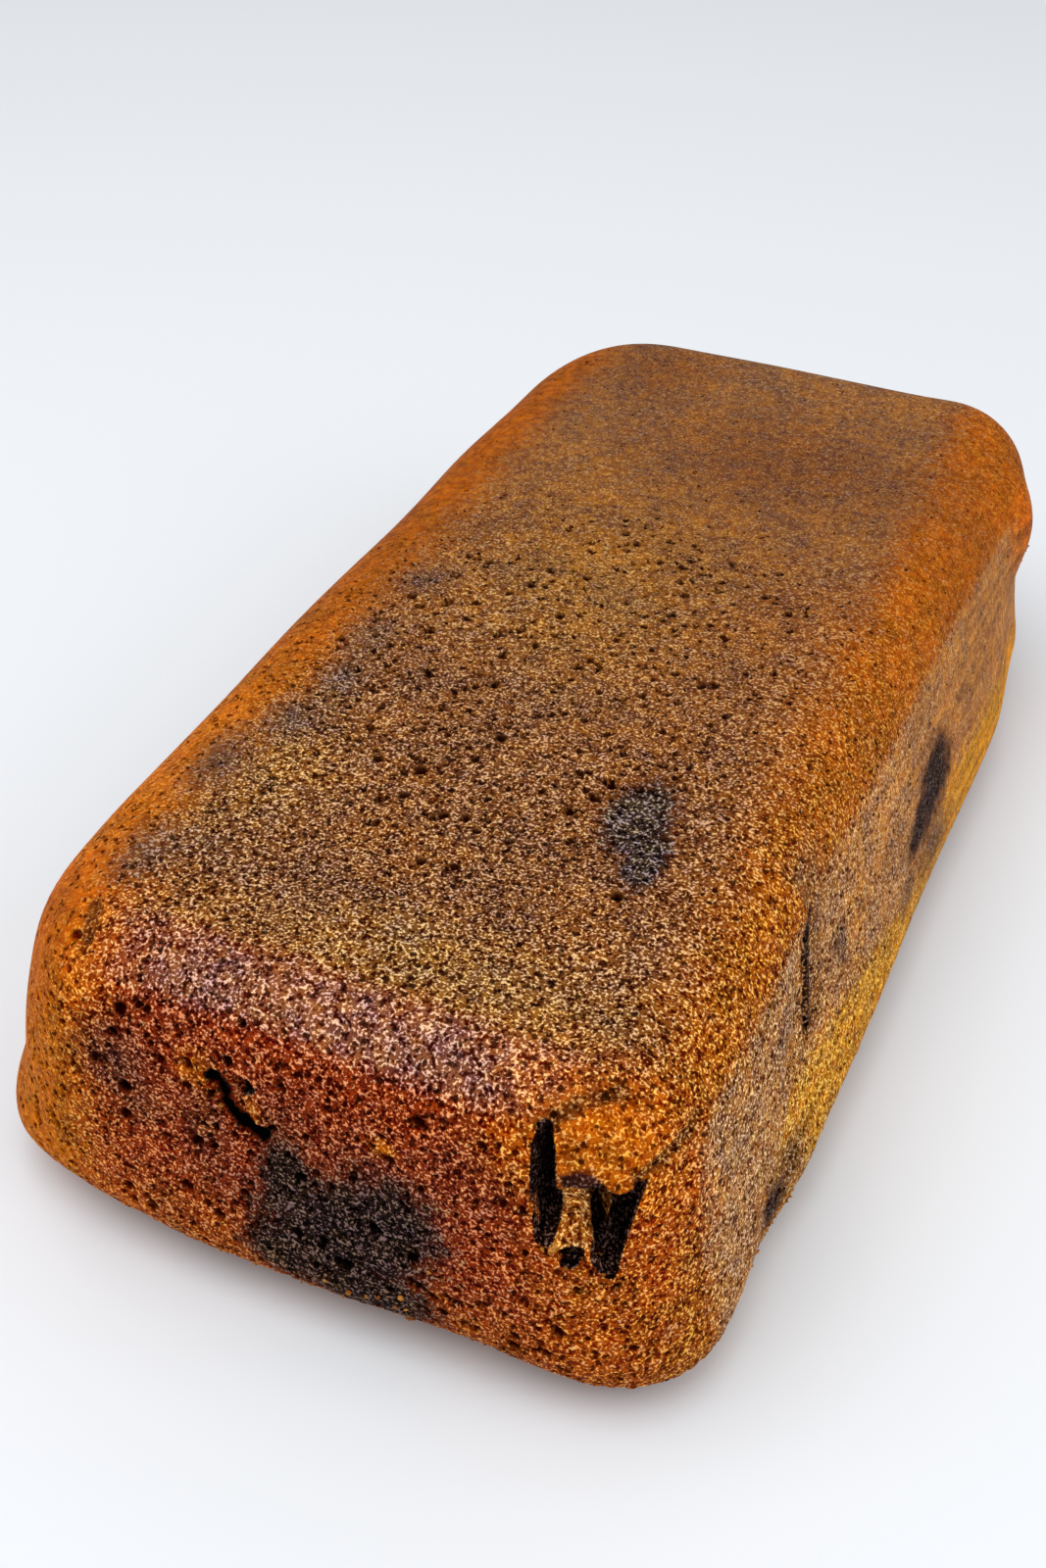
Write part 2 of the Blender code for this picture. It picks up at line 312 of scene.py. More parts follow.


# Bubbles that lay against the tin and left open bowls in the skin. Each layer has its spacing, radius and
# depth, how many of the places for a bubble have one, the attribute that says where it is found, and how
# dark the shade painted into its bowls is.
BUBBLES = (
    {"Spacing": 4.4 * MM, "Radius": 1.45 * MM, "Depth": 1.1 * MM, "Share": 0.75, "Seed": 3.0, "Where": "coarse",
     "Darkness": 1.0},
    {"Spacing": 2.5 * MM, "Radius": 0.95 * MM, "Depth": 0.6 * MM, "Share": 0.8, "Seed": 11.0,
     "Where": "coarse", "Darkness": 0.95},
    {"Spacing": 1.4 * MM, "Radius": 0.62 * MM, "Depth": 0.3 * MM, "Share": 0.75, "Seed": 23.0, "Where": "skin",
     "Darkness": 0.85},
)
BUBBLE_BEND = 1.7 * MM  # how far a bubble's outline strays from a circle


def bubble_bowls(tree, place, spacing, radius, share, seed, where):
    """How far inside a bubble's bowl a place lies, 0 to 1. Each cell of a bent Voronoi may hold a bubble."""
    bend = add_node(tree, "ShaderNodeTexNoise", {"Vector": place, "Scale": 1 / (1.1 * MM), "Detail": 2.0},
                    output="Color")
    bend = add_node(tree, "ShaderNodeVectorMath", {0: bend, 1: (0.5, 0.5, 0.5)}, operation="SUBTRACT")
    bend = add_node(tree, "ShaderNodeVectorMath", {0: bend, "Scale": BUBBLE_BEND}, operation="SCALE")
    place = add_node(tree, "ShaderNodeVectorMath", {0: place, 1: bend}, operation="ADD")
    cells = add_node(tree, "ShaderNodeMath", {0: 1.0, 1: spacing}, operation="DIVIDE")
    place = add_node(tree, "ShaderNodeVectorMath", {0: place, "Scale": cells}, operation="SCALE")
    offset = add_node(tree, "ShaderNodeCombineXYZ", {0: seed, 1: seed, 2: seed})
    place = add_node(tree, "ShaderNodeVectorMath", {0: place, 1: offset}, operation="ADD")
    distance = add_node(tree, "ShaderNodeTexVoronoi", {"Vector": place, "Scale": 1.0})
    luck = add_node(tree, "ShaderNodeSeparateXYZ", {0: distance.node.outputs["Color"]})
    is_there = add_node(tree, "ShaderNodeMath", {0: luck, 1: share}, operation="LESS_THAN")
    size = add_node(tree, "ShaderNodeMapRange", {"Value": luck.node.outputs[1], "To Min": 0.5})
    size = add_node(tree, "ShaderNodeMath", {0: size, 1: is_there}, operation="MULTIPLY")
    size = add_node(tree, "ShaderNodeMath", {0: size, 1: where}, operation="MULTIPLY")
    reach = add_node(tree, "ShaderNodeMath", {0: radius, 1: cells}, operation="MULTIPLY")
    reach = add_node(tree, "ShaderNodeMath", {0: reach, 1: size}, operation="MULTIPLY")
    reach = add_node(tree, "ShaderNodeMath", {0: reach, 1: 0.001}, operation="MAXIMUM")
    distance = add_node(tree, "ShaderNodeMath", {0: distance, 1: reach}, operation="DIVIDE")
    return add_node(tree, "ShaderNodeMapRange", {"Value": distance, "From Min": 1.0, "From Max": 0.5},
                    interpolation_type="SMOOTHSTEP")


def pore_tree():
    """Pushes bubbles' bowls into a surface. Its inputs are one layer of BUBBLES."""
    tree = bpy.data.node_groups.new("open pores", "GeometryNodeTree")
    tree.interface.new_socket("Geometry", in_out="INPUT", socket_type="NodeSocketGeometry")
    for name in ("Spacing", "Radius", "Depth", "Share", "Seed", "Where"):
        tree.interface.new_socket(name, in_out="INPUT", socket_type="NodeSocketFloat")
    tree.interface.new_socket("Material", in_out="INPUT", socket_type="NodeSocketMaterial")
    tree.interface.new_socket("Geometry", in_out="OUTPUT", socket_type="NodeSocketGeometry")
    group = tree.nodes.new("NodeGroupInput").outputs
    place = add_node(tree, "GeometryNodeInputNamedAttribute", {"Name": "skin_place"}, data_type="FLOAT_VECTOR")
    bowl = bubble_bowls(tree, place, group["Spacing"], group["Radius"], group["Share"], group["Seed"],
                        group["Where"])
    depth = add_node(tree, "ShaderNodeMath", {0: bowl, 1: group["Depth"]}, operation="MULTIPLY")
    depth = add_node(tree, "ShaderNodeMath", {0: depth, 1: -1.0}, operation="MULTIPLY")
    normal = add_node(tree, "GeometryNodeInputNormal", {})
    inwards = add_node(tree, "ShaderNodeVectorMath", {0: normal, "Scale": depth}, operation="SCALE")
    pitted = add_node(tree, "GeometryNodeSetPosition", {"Geometry": group["Geometry"], "Offset": inwards})
    realized = add_node(tree, "GeometryNodeRealizeInstances", {"Geometry": pitted})
    finished = add_node(tree, "GeometryNodeSetMaterial", {"Geometry": realized, "Material": group["Material"]})
    output = tree.nodes.new("NodeGroupOutput")
    tree.links.new(finished, output.inputs["Geometry"])
    return tree


def use_tree(obj, tree, values):
    """Adds a Geometry Nodes modifier, and sets its inputs by their sockets' identifiers."""
    modifier = obj.modifiers.new(tree.name, "NODES")
    modifier.node_group = tree
    for item in tree.interface.items_tree:
        if item.in_out == "INPUT" and item.name in values:
            value = values[item.name]
            if isinstance(value, str):
                modifier[item.identifier + "_use_attribute"] = True
                modifier[item.identifier + "_attribute_name"] = value
            else:
                modifier[item.identifier] = value
    return modifier


def linear(code):
    """A colour for a shader from its sRGB hex code."""
    parts = [int(code[i:i + 2], 16) / 255 for i in (1, 3, 5)]
    return (*[part / 12.92 if part <= 0.04045 else ((part + 0.055) / 1.055) ** 2.4 for part in parts], 1.0)


# Where cocoa batter reached the skin, as blobs: centre and radii in mm
COCOA_PATCHES = [
    ((8.5, -115.0, 22.0), (12.5, 8.0, 10.5)),
    ((-0.6, -114.0, 28.0), (4.0, 6.0, 7.0)),
    ((15.5, -114.0, 27.5), (8.0, 6.0, 8.0)),
    ((12.0, -116.0, 13.0), (10.0, 8.0, 7.0)),
    ((-0.8, -116.0, 15.5), (6.0, 8.0, 6.0)),
    ((58.5, 17.0, 28.0), (5.0, 9.0, 6.0)),
    ((59.5, 6.0, 24.5), (5.0, 7.0, 3.2)),
    ((62.0, -76.0, 12.5), (3.0, 4.0, 4.0)),
    ((-61.0, -20.0, 20.0), (6.0, 22.0, 9.0)),
    ((-60.0, 8.0, 27.0), (6.0, 16.0, 6.0)),
    ((-18.0, 114.0, 24.0), (16.0, 8.0, 9.0)),
    ((4.0, 114.0, 32.0), (12.0, 8.0, 5.0)),
    ((-8.0, -20.0, 0.0), (24.0, 60.0, 5.0)),
    ((12.0, 55.0, 0.0), (18.0, 30.0, 5.0)),
]
COCOA_ON_TOP = [
    ((26.3, -50.5, 57.0), (4.6, 8.0, 5.0)),
    ((31.0, -59.5, 57.0), (2.8, 6.0, 4.0)),
]
# Cocoa that shows through a thin film of plain batter
FAINT_COCOA = [
    ((-33.0, -4.0, 57.0), (3.2, 4.0, 5.0)),
    ((-33.0, -25.0, 57.0), (3.6, 6.0, 5.0)),
    ((-31.5, -38.0, 57.0), (3.6, 6.0, 5.0)),
    ((-34.0, -50.0, 57.0), (4.0, 6.0, 5.0)),
    ((-38.0, -64.0, 56.0), (4.0, 7.0, 5.0)),
    ((-37.0, -88.0, 57.0), (4.0, 6.0, 5.0)),
    ((61.0, -5.0, 18.5), (4.0, 4.0, 2.5)),
    ((61.5, -70.0, 15.0), (4.0, 6.0, 4.5)),
    ((58.0, -38.0, 33.0), (5.0, 2.5, 4.0)),
    ((61.0, 12.0, 17.0), (5.0, 10.0, 4.0)),
]
FAINT_COCOA_AT_END = [
    ((-14.0, -113.6, 34.5), (3.6, 6.0, 6.5)),
    ((-28.5, -113.0, 40.0), (4.5, 6.0, 6.5)),
    ((-24.5, -114.0, 34.0), (3.5, 6.0, 4.0)),
    ((-1.0, -114.0, 35.5), (4.0, 5.0, 4.5)),
    ((15.0, -114.0, 35.0), (8.0, 5.0, 3.5)),
]
# Skin that stayed golden, and parts of the top that browned less and more than the rest
GILDED = [
    ((44.0, -107.0, 51.0), (13.0, 10.0, 9.0)),
    ((-47.0, -100.0, 52.0), (13.0, 14.0, 11.0)),
    ((56.0, 82.0, 43.0), (4.0, 7.0, 8.0)),
    ((14.4, -112.9, 41.8), (1.8, 3.0, 1.3)),
    ((-15.0, -112.9, 43.5), (2.6, 3.0, 3.0)),
    ((-6.0, -113.2, 39.5), (1.6, 3.0, 1.8)),
]
LIGHT_ON_TOP = [
    ((-6.0, 10.0, 57.0), (20.0, 28.0, 9.0)),
    ((-32.0, -66.0, 57.0), (9.0, 16.0, 8.0)),
    ((10.0, -92.0, 57.0), (26.0, 8.0, 8.0)),
]
DARK_ON_TOP = [
    ((-20.0, -31.0, 57.0), (13.0, 9.0, 8.0)),
    ((-3.0, -43.0, 57.0), (9.0, 9.0, 8.0)),
    ((13.0, -62.0, 57.0), (9.0, 14.0, 8.0)),
    ((-18.0, -82.0, 57.0), (14.0, 9.0, 8.0)),
    ((12.0, 62.0, 57.0), (26.0, 16.0, 8.0)),
    ((-24.0, 90.0, 57.0), (10.0, 12.0, 8.0)),
]
YELLOW_BAND_TOP = ((-80, 24), (-60, 26), (-48, 24), (-32, 23), (-21, 21), (-7, 17), (7, 18), (25, 22), (60, 21),
                   (100, 16))  # how high the pale foot of the right wall reaches, as places along Y and heights


def blobs(places, zone):
    return np.max([inside_blob(places, centre, radii) for centre, radii in zone], axis=0)


def within(*distances):
    """How far inside several edges a place is: each distance is in shares of that edge's softness."""
    return np.clip(np.min(distances, axis=0), -1, 1)


def mark_zones(loaf):
    """Keeps what each part of the crust went through, and where light and shade are painted on it, for the material.
    """
    places = places_mm(loaf.data)
    x, y, z = places.T
    top_right = 41 - 0.045 * y
    near_edge = 97 + 0.004 * x * x
    browned = within((x + 37) / 8, (top_right - x) / 8, (y + near_edge) / 7, (112 - y) / 9, (z - 50) / 4)
    store(loaf.data, "browned", browned)
    store(loaf.data, "far_top", within(browned, (y - 30) / 30))
    store(loaf.data, "light_on_top", blobs(places, LIGHT_ON_TOP))
    store(loaf.data, "dark_on_top", blobs(places, DARK_ON_TOP))
    store(loaf.data, "reddened", np.maximum(within((-y - 101) / 6, (x + 32) / 9, (38 - x) / 9, (z - 17) / 12),
                                            within((y - 106) / 6, (50 - abs(x)) / 12)))
    store(loaf.data, "left_corner", within((-x - 37) / 7, (-y - 40) / 30, (56 - z) / 6))
    store(loaf.data, "near_wall", within((-y - 97) / 5, (56 - x) / 4))
    # A band along the near top edge: a painted sheen, the reflection of an overhead light, in its colour, and a
    # glossier skin in its roughness
    store(loaf.data, "sheen_and_gloss", within((z - 52.5) / 2, (-y - 99.5) / 3, (x + 29) / 14, (38 - x) / 8))
    store(loaf.data, "gilded", blobs(places, GILDED))

    # The right wall: scraped along the tin, with a painted reflection of the bright floor in its tan and painted shade
    # under the torn edge, and from the torn edge on without its skin
    torn_edge = np.array(SKIN_LINES["torn_skin_edge"][0])
    past_edge = y - np.interp(z, torn_edge[::-1, 2], torn_edge[::-1, 1])
    band_top = np.interp(y, *np.transpose(YELLOW_BAND_TOP))
    right_wall = (x - 50) / 3
    store(loaf.data, "rub_streaks_and_sheen", within((47 - z) / 2.5, right_wall, (y + 99) / 4, (103 - y) / 10))
    store(loaf.data, "step_shade", within(past_edge / 0.8, (10 - past_edge) / 4, (z - 27) / 4, right_wall))
    store(loaf.data, "gap_shade", within((past_edge + 0.3) / 0.6, (1 + 0.1 * z - past_edge) / 1.2, (z - 29) / 2,
                                         (46.5 - z) / 2, right_wall))
    store(loaf.data, "yellow", within((band_top - z) / 5, past_edge / 1.2, right_wall, (100 - y) / 12))
    # Painted shade along the foot of the right wall, darker towards the bottom
    store(loaf.data, "foot_shade", within((10 - z) / 4, (y + 80) / 4, right_wall))
    cocoa = np.maximum(blobs(places, COCOA_PATCHES), blobs(places, COCOA_ON_TOP))
    store(loaf.data, "cocoa", cocoa)
    store(loaf.data, "cocoa_halo", cocoa + 0.12)
    store(loaf.data, "cocoa_on_top", blobs(places, COCOA_ON_TOP))
    store(loaf.data, "faint_cocoa", blobs(places, FAINT_COCOA))
    store(loaf.data, "faint_cocoa_at_end", blobs(places, FAINT_COCOA_AT_END))

    # The tears in the near end: painted shadow under the flap's lip, the crumb strand between the slots, and painted
    # shade in the slots
    at_tears = (-y - 98) / 2
    skin = skin_places_mm(loaf.data)
    store(loaf.data, "shadow_under_lip", within(inside_outline(skin, SHADOW_UNDER_LIP) / 0.8, at_tears))
    bridge = inside_outline(skin, BRIDGE)
    store(loaf.data, "bridge", within(bridge / 0.8, at_tears))
    # Painted shade in the slots: inside their outlines, and deeper than 2.4 mm under the hull round them, except on
    # the strand between them
    slots = np.max([inside_outline(skin, outline) for outline in SLOTS.values()], axis=0)
    deep = within((depth_in_slots(skin) - 2.4) / 0.8, -bridge / 0.8)
    in_slots = np.maximum((slots + 0.4) / 0.4, deep)
    store(loaf.data, "slot", within(in_slots, at_tears))

    # How strongly the grain shows: the painted glints on its rims, the painted shade in its pits and the height of its
    # bumps
    speckle = 0.2 + 0.8 * smoothstep(60, -90, y)
    speckle *= 1 - 0.72 * smoothstep(-30, -44, x)
    speckle *= 1 - 0.2 * smoothstep(24, 12, z)
    speckle *= 1 - 0.35 * smoothstep(0, 0.5, blobs(places, GILDED))
    speckle += 0.1 * smoothstep(-0.2, 0.4, cocoa)
    store(loaf.data, "speckle", speckle)


# The crust's colour, then each zone's attribute, colour, raggedness and softness, in order. Some zones hold painted
# light and shade.
CRUST_BASE = "#9a5005"
CRUST_ZONES = (
    # Tan: a painted reflection of the bright floor on the right wall
    ("rub_streaks_and_sheen", "#a6703b", 0.7, 0.6),
    ("step_shade", "#875323", 0.6, 0.8),
    ("near_wall", "#a04604", 0.8, 0.8),
    ("reddened", "#842b09", 0.9, 0.9),
    ("browned", "#7a4821", 1.2, 0.8),
    ("far_top", "#7d5330", 1.2, 0.8),
    ("light_on_top", "#845624", 1.2, 1.0),
    ("dark_on_top", "#6e4222", 1.2, 1.0),
    ("left_corner", "#b46002", 0.8, 0.8),
    # Painted sheen along the near top edge
    ("sheen_and_gloss", "#86503a", 1.0, 0.8),
    ("gilded", "#b35a06", 0.8, 0.8),
    ("yellow", "#c4851a", 0.7, 0.6),
    # Painted shade along the foot of the right wall
    ("foot_shade", "#9f671b", 0.8, 0.8),
    ("faint_cocoa", "#5d402e", 1.6, 1.1),
    ("faint_cocoa_at_end", "#5d2712", 1.6, 1.1),
    ("cocoa_halo", "#4b2013", 1.2, 0.5),
    ("cocoa", "#25130d", 1.3, 0.4),
    ("cocoa_on_top", "#3c2c25", 1.1, 0.3),
    ("gap_shade", "#241208", 0.5, 0.4),
    # Painted shade along shallow creases and gaps
    ("crease", "#6a340c", 0.35, 0.2),
    ("bridge", "#a66425", 0.4, 0.4),
    # Painted shadow under the flap's lip
    ("shadow_under_lip", "#3f1c12", 0.5, 0.4),
    # Painted shade in the slots, near black
    ("slot", "#1a0906", 0.1, 0.25),
    # Painted shade in the crack, near black
    ("crack", "#0d0503", 0.6, 0.08),
)


def browned_sponge_crust():
    """Browned sponge: a tight, slightly oily skin with open pores, painted shade in its pits and painted glints on its
    rims.
    """
    material = bpy.data.materials.new("browned sponge crust")
    material.use_nodes = True
    tree = material.node_tree
    shader = tree.nodes["Principled BSDF"]
    place = add_node(tree, "ShaderNodeTexCoord", {}, output="Object")
    mottle = add_node(tree, "ShaderNodeTexNoise", {"Vector": place, "Scale": 1 / (11 * MM), "Detail": 3.0})
    patch = add_node(tree, "ShaderNodeTexNoise", {"Vector": place, "Scale": 1 / (3.2 * MM), "Detail": 3.0})
    fleck = add_node(tree, "ShaderNodeTexNoise", {"Vector": place, "Scale": 1 / (1.5 * MM), "Detail": 1.0})
    fine = add_node(tree, "ShaderNodeTexNoise", {"Vector": place, "Scale": 1 / (0.45 * MM), "Detail": 1.0})
    coarse = add_node(tree, "ShaderNodeTexNoise",
                      {"Vector": place, "Scale": 1 / (1.0 * MM), "Detail": 1.0, "Roughness": 0.8})
    hollows = add_node(tree, "ShaderNodeMath", {0: fine, 1: 0.55, 2: -0.275}, operation="MULTIPLY_ADD")
    hollows = add_node(tree, "ShaderNodeMath", {0: coarse, 1: 0.8, 2: hollows}, operation="MULTIPLY_ADD")
    rims = add_node(tree, "ShaderNodeMath", {0: coarse, 1: 0.4, 2: -0.2}, operation="MULTIPLY_ADD")
    rims = add_node(tree, "ShaderNodeMath", {0: fine, 1: 1.0, 2: rims}, operation="MULTIPLY_ADD")
    grain = add_node(tree, "ShaderNodeMath", {0: hollows, 1: 0.1}, operation="ADD")
    ragged = add_node(tree, "ShaderNodeMath", {0: patch, 1: grain}, operation="ADD")
    ragged = add_node(tree, "ShaderNodeMath", {0: ragged, 1: 1.0}, operation="SUBTRACT")
    colour = add_node(tree, "ShaderNodeRGB", {})
    colour.default_value = linear(CRUST_BASE)
    for attribute, code, raggedness, softness in CRUST_ZONES:
        zone = add_node(tree, "ShaderNodeAttribute", {}, output="Fac", attribute_name=attribute)
        edge = add_node(tree, "ShaderNodeMath", {0: ragged, 1: raggedness, 2: zone}, operation="MULTIPLY_ADD")
        share = add_node(tree, "ShaderNodeMapRange", {"Value": edge, "From Min": -softness,
                                                      "From Max": softness}, interpolation_type="SMOOTHSTEP")
        colour = add_node(tree, "ShaderNodeMix", {0: share, 6: colour, 7: linear(code)}, output=2,
                          data_type="RGBA")

    # Thicker and thinner browning: colder and darker against warmer and lighter patches
    for pattern, cold, warm in ((mottle, (0.84, 0.88, 1.05), (1.14, 1.1, 0.85)),
                                (patch, (0.8, 0.8, 1.0), (1.22, 1.14, 0.8)),
                                (fleck, (0.8, 0.68, 0.8), (1.22, 1.2, 0.84))):
        share = add_node(tree, "ShaderNodeMapRange", {"Value": pattern, "From Min": 0.35, "From Max": 0.65})
        tint = add_node(tree, "ShaderNodeMix", {0: share, 4: cold, 5: warm}, output=1, data_type="VECTOR")
        colour = add_node(tree, "ShaderNodeVectorMath", {0: colour, 1: tint}, operation="MULTIPLY")

    # The right wall scraped along the tin, which left streaks along it. They run through the tan painted there as the
    # reflection of the bright floor
    lengthwise = add_node(tree, "ShaderNodeMapping", {"Vector": place, "Scale": (1.0, 0.08, 1.0)})
    streaks = add_node(tree, "ShaderNodeTexNoise",
                       {"Vector": lengthwise, "Scale": 1 / (2.0 * MM), "Detail": 3.0, "Roughness": 0.6})
    rub_streaks_and_sheen = add_node(tree, "ShaderNodeAttribute", {}, output="Fac", attribute_name="rub_streaks_and_sheen")
    streaky = add_node(tree, "ShaderNodeMapRange", {"Value": rub_streaks_and_sheen, "From Min": -0.3, "From Max": 0.5})
    share = add_node(tree, "ShaderNodeMapRange", {"Value": streaks, "From Min": 0.35, "From Max": 0.65})
    tint = add_node(tree, "ShaderNodeMix", {0: share, 4: (0.72, 0.68, 0.66), 5: (1.25, 1.25, 1.25)}, output=1,
                    data_type="VECTOR")
    tint = add_node(tree, "ShaderNodeMix", {0: streaky, 4: (1.0, 1.0, 1.0), 5: tint}, output=1,
                    data_type="VECTOR")
    colour = add_node(tree, "ShaderNodeVectorMath", {0: colour, 1: tint}, operation="MULTIPLY")

    # The grain: painted shade gives the pits a deep, saturated colour, and painted glints give the rims between them a
    # pale one
    speckle = add_node(tree, "ShaderNodeAttribute", {}, output="Fac", attribute_name="speckle")
    hollow_shade = add_node(tree, "ShaderNodeMapRange", {"Value": grain, "From Min": 0.44, "From Max": 0.36})
    hollow_shade = add_node(tree, "ShaderNodeMath", {0: hollow_shade, 1: speckle}, operation="MULTIPLY")
    pale = add_node(tree, "ShaderNodeMapRange", {"Value": rims, "From Min": 0.54, "From Max": 0.66})
    pale = add_node(tree, "ShaderNodeMath", {0: pale, 1: speckle}, operation="MULTIPLY")
    skin_place = add_node(tree, "ShaderNodeAttribute", {}, output="Vector", attribute_name="skin_place")
    # Painted shade inside holes and the crack, from "pore", and in the grain's deepest hollows
    bowls = add_node(tree, "ShaderNodeAttribute", {}, output="Fac", attribute_name="pore")
    bowls = add_node(tree, "ShaderNodeMath", {0: grain, 1: 0.4, 2: bowls}, operation="MULTIPLY_ADD")
    bowls = add_node(tree, "ShaderNodeMapRange", {"Value": bowls, "From Min": 0.15, "From Max": 0.4},
                     interpolation_type="SMOOTHSTEP")
    # Painted shade in the bubbles' bowls, as dark as each layer says
    for layer in BUBBLES:
        where = add_node(tree, "ShaderNodeAttribute", {}, output="Fac", attribute_name=layer["Where"])
        bowl = bubble_bowls(tree, skin_place, layer["Spacing"], layer["Radius"], layer["Share"],
                            layer["Seed"], where)
        bowl = add_node(tree, "ShaderNodeMath", {0: bowl, 1: layer["Darkness"]}, operation="MULTIPLY")
        bowls = add_node(tree, "ShaderNodeMath", {0: bowls, 1: bowl}, operation="MAXIMUM")
    closed = add_node(tree, "ShaderNodeMath", {0: 1.0, 1: bowls}, operation="SUBTRACT", use_clamp=True)
    pale = add_node(tree, "ShaderNodeMath", {0: pale, 1: closed}, operation="MULTIPLY")
    deep = add_node(tree, "ShaderNodeGamma", {"Color": colour, "Gamma": 1.7})
    # The painted glint: the crust's colour lifted towards a pale highlight
    glint_colour = add_node(tree, "ShaderNodeGamma", {"Color": colour, "Gamma": 0.5})
    glint_colour = add_node(tree, "ShaderNodeVectorMath", {0: glint_colour, 1: (2.1, 2.25, 2.5)}, operation="MULTIPLY")
    colour = add_node(tree, "ShaderNodeMix", {0: pale, 6: colour, 7: glint_colour}, output=2, data_type="RGBA")
    shaded = add_node(tree, "ShaderNodeVectorMath", {0: deep, 1: (0.6, 0.32, 0.3)}, operation="MULTIPLY")
    colour = add_node(tree, "ShaderNodeMix", {0: hollow_shade, 6: colour, 7: shaded}, output=2, data_type="RGBA")
    # Painted shade in the bowls, near black
    pitted = add_node(tree, "ShaderNodeVectorMath", {0: deep, 1: (0.25, 0.12, 0.12)}, operation="MULTIPLY")
    colour = add_node(tree, "ShaderNodeMix", {0: bowls, 6: colour, 7: pitted}, output=2, data_type="RGBA")
    tree.links.new(colour, shader.inputs["Base Color"])

    height = add_node(tree, "ShaderNodeMath", {0: grain, 1: speckle}, operation="MULTIPLY")
    height = add_node(tree, "ShaderNodeMath", {0: bowls, 1: -0.4, 2: height}, operation="MULTIPLY_ADD")
    bumps = add_node(tree, "ShaderNodeBump", {"Height": height, "Distance": 1.5 * MM, "Strength": 0.9})
    tree.links.new(bumps, shader.inputs["Normal"])
    # A glossier skin where the sheen is painted
    sheen_and_gloss = add_node(tree, "ShaderNodeAttribute", {}, output="Fac", attribute_name="sheen_and_gloss")
    rough = add_node(tree, "ShaderNodeMapRange", {"Value": sheen_and_gloss, "From Min": -0.5, "From Max": 0.5,
                                                  "To Min": 0.6, "To Max": 0.42})
    rough = add_node(tree, "ShaderNodeMath", {0: bowls, 1: 0.25, 2: rough}, operation="MULTIPLY_ADD")
    rough = add_node(tree, "ShaderNodeMath", {0: pale, 1: -0.15, 2: rough}, operation="MULTIPLY_ADD")
    tree.links.new(rough, shader.inputs["Roughness"])
    shader.inputs["Specular IOR Level"].default_value = 0.02
    return material


def slot_cutter(name, outline):
    """A straight prism along Y with a slot's outline, from outside the wall to the slot's floor."""
    mesh = bmesh.new()
    rings = []
    for y in (cad_low[1] - 5 * MM, SLOTS_REACH_TO * MM):
        rings.append([mesh.verts.new((x * MM, y, z * MM)) for x, z in outline])
    mesh.faces.new(rings[0])
    mesh.faces.new(rings[1])
    for i in range(len(outline)):
        mesh.faces.new((rings[0][i - 1], rings[0][i], rings[1][i], rings[1][i - 1]))
    bmesh.ops.recalc_face_normals(mesh, faces=mesh.faces)
    data = bpy.data.meshes.new(name)
    mesh.to_mesh(data)
    mesh.free()
    cutter = bpy.data.objects.new(name, data)
    bpy.context.scene.collection.objects.link(cutter)
    return cutter


def make_loaf(material):
    """Rounds the CAD's facets, opens the slots, wrinkles the skin, opens the pores and thins the mesh."""
    rounded = copy_of_node("loaf")
    rounded.modifiers.new("Subdivision", "SUBSURF").levels = 2
    rounded.modifiers["Subdivision"].render_levels = 2
    cutters = [slot_cutter(name, outline) for name, outline in SLOTS.items()]
    for cutter in cutters:
        cut = rounded.modifiers.new(cutter.name, "BOOLEAN")
        cut.object = cutter
        cut.operation = "DIFFERENCE"
        cut.solver = "MANIFOLD"
    remesh = rounded.modifiers.new("Remesh", "REMESH")
    remesh.mode = "VOXEL"
    remesh.voxel_size = CRUMB_CELL
    remesh.use_smooth_shade = True
    loaf = applied(rounded, "loaf_crust")
    for cutter in cutters:
        bpy.data.objects.remove(cutter)
    places = places_mm(loaf.data)
    skin_place = loaf.data.attributes.new("skin_place", "FLOAT_VECTOR", "POINT")
    skin_place.data.foreach_set("vector", (places * MM).astype(np.float32).ravel())
    wrinkle_skin(loaf)
    near_end = smoothstep(-104, -111, places[:, 1])
    mid_top = inside_blob(places, (0, -20, 57), (46, 66, 12))
    coarse = np.clip(smoothstep(-0.2, 0.4, mid_top) + near_end, 0, 1) * (places[:, 2] > 1.0)
    store(loaf.data, "coarse", coarse)
    store(loaf.data, "skin", smoothstep(1.0, 4.0, places[:, 2]) * (0.5 + 0.5 * smoothstep(60, -60, places[:, 1])))
    tree = pore_tree()
    for layer in BUBBLES:
        use_tree(loaf, tree, {**layer, "Material": material})
    loaf.modifiers.new("Thin", "DECIMATE")
    loaf.modifiers["Thin"].ratio = LOAF_TRIANGLES / (2 * len(loaf.data.polygons))
    loaf = applied(loaf, "loaf_crust")
    places = places_mm(loaf.data)
    set_places_mm(loaf.data, np.clip(places, np.array(cad_low) / MM, np.array(cad_high) / MM))
    loaf.data.shade_smooth()
    return loaf


loaf = make_loaf(browned_sponge_crust())
mark_zones(loaf)
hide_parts("loaf")
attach(loaf, "root")

# ---------------------------------------------------------------------------------------------------------
# Stray crumbs. Bits of sponge that came loose as the loaf left its tin, and that cling to its torn edges and
# its foot. They are scattered over the loaf's own surface, where its "crumbly" attribute says.
# ---------------------------------------------------------------------------------------------------------

